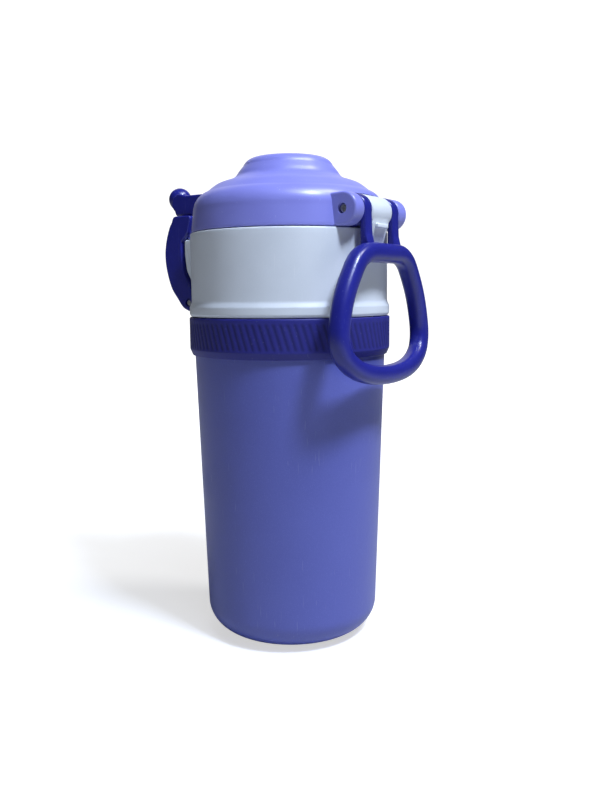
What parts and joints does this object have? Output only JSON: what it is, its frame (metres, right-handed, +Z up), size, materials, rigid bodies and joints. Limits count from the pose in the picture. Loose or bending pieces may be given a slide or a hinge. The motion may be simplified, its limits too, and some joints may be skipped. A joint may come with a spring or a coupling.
{
  "type": "kids water bottle",
  "caption": "Tapered double-walled bottle with a screw-on drinking collar, a hinged dome lid, a swinging carry loop, a latch lever and a ribbed grip ring.",
  "frame": {"origin": "middle of the base pad's underside, where the bottle stands", "axes": "+Z up along the bottle's axis, +X towards the hinge and the carry loop, -X towards the latch"},
  "size_m": [0.108, 0.078, 0.1849],
  "materials": {
    "body_paint": "satin paint",
    "steel": "brushed",
    "lavender_plastic": "semi-gloss",
    "navy_plastic": "semi-gloss",
    "navy_silicone": "matte",
    "white_plastic": "semi-gloss",
    "liner_plastic": "matte",
    "straw_plastic": "translucent",
    "clear_silicone": "translucent matte",
    "grey_silicone": "matte"
  },
  "bodies": {
    "flask": {"outer_shell": "body_paint", "inner_flask": "steel", "base_cap": "steel", "base_pad": "grey_silicone", "getter": "steel"},
    "grip": {"grip_ring": "navy_silicone"},
    "seal_lift": {"neck_gasket": "clear_silicone"},
    "collar": {"collar": "white_plastic", "straw_socket": "white_plastic", "straw": "straw_plastic", "mouthpiece": "clear_silicone", "vent_valve": "clear_silicone", "hinge_pin": "steel", "latch_pin": "steel"},
    "lid": {"lid": "lavender_plastic", "lid_liner": "liner_plastic", "spout_seal": "clear_silicone", "thumb_knob": "navy_plastic"},
    "loop": {"carry_loop": "navy_plastic"},
    "latch": {"latch_lever": "navy_plastic"}
  },
  "joints": [
    {"name": "collar_lift", "type": "slide", "parent": "flask", "child": "seal_lift", "axis": [0, 0, 1], "range_m": [0, 0.0062]},
    {"name": "collar_turn", "type": "hinge", "parent": "seal_lift", "child": "collar", "pos_m": [0, 0, 0.14], "axis": [0, 0, 1], "range_deg": [0, 540]},
    {"name": "lid_hinge", "type": "hinge", "parent": "collar", "child": "lid", "pos_m": [0.0355, 0, 0.1627], "axis": [0, 1, 0], "range_deg": [0, 115]},
    {"name": "loop_swing", "type": "hinge", "parent": "collar", "child": "loop", "pos_m": [0.0355, 0, 0.1627], "axis": [0, 1, 0], "range_deg": [-120, 0]},
    {"name": "latch_pivot", "type": "hinge", "parent": "collar", "child": "latch", "pos_m": [-0.0434, 0, 0.1303], "axis": [0, 1, 0], "range_deg": [-28, 0]},
    {"name": "grip_slide", "type": "slide", "parent": "flask", "child": "grip", "axis": [0, 0, -1], "range_m": [0, 0.04]}
  ],
  "couplings": [
    {"joint": "collar_lift", "follows": "collar_turn", "m_per_rad": 0.00063662}
  ]
}
